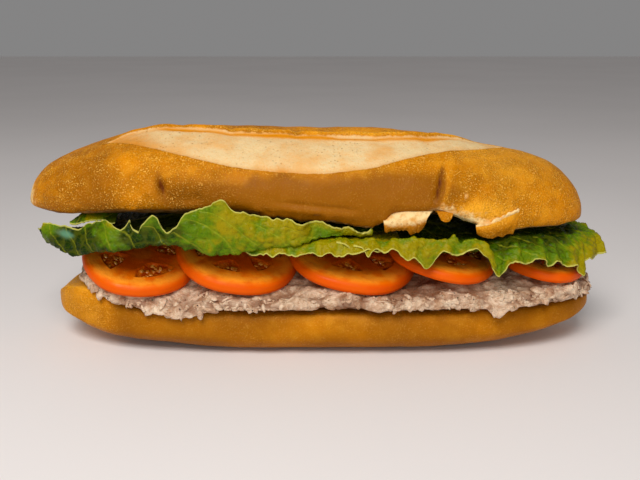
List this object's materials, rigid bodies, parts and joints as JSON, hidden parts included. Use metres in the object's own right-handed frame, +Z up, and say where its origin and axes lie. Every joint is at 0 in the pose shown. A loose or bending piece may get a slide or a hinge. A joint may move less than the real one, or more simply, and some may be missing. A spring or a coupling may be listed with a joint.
{
  "type": "submarine sandwich",
  "caption": "Long crusty roll split lengthwise and filled with creamy shredded salad, overlapping tomato slices and ruffled lettuce, its top half slashed along the crest.",
  "frame": {"origin": "middle of the sandwich's bounding box, on the surface it stands on", "axes": "+X along the roll, towards the end where the upper half leans down; -Y is the open front where the tomato slices show; +Z up"},
  "size_m": [0.3008, 0.0978, 0.1115],
  "materials": {
    "crust": "golden baked crust, fine blisters, paler in the slash",
    "salad": "moist, coarse shreds in mayonnaise",
    "tomato": "wet, glossy skin and cut flesh",
    "lettuce": "waxy leaf, veined and blistered"
  },
  "bodies": {
    "root": {"roll_lower_half": "crust", "salad_filling": "salad", "tomato_slice_1": "tomato", "tomato_slice_2": "tomato", "tomato_slice_3": "tomato", "tomato_slice_4": "tomato", "tomato_slice_5": "tomato", "lettuce_leaf_left": "lettuce", "lettuce_leaf_right": "lettuce", "lettuce_leaf_inner": "lettuce", "roll_upper_half": "crust"}
  },
  "joints": []
}
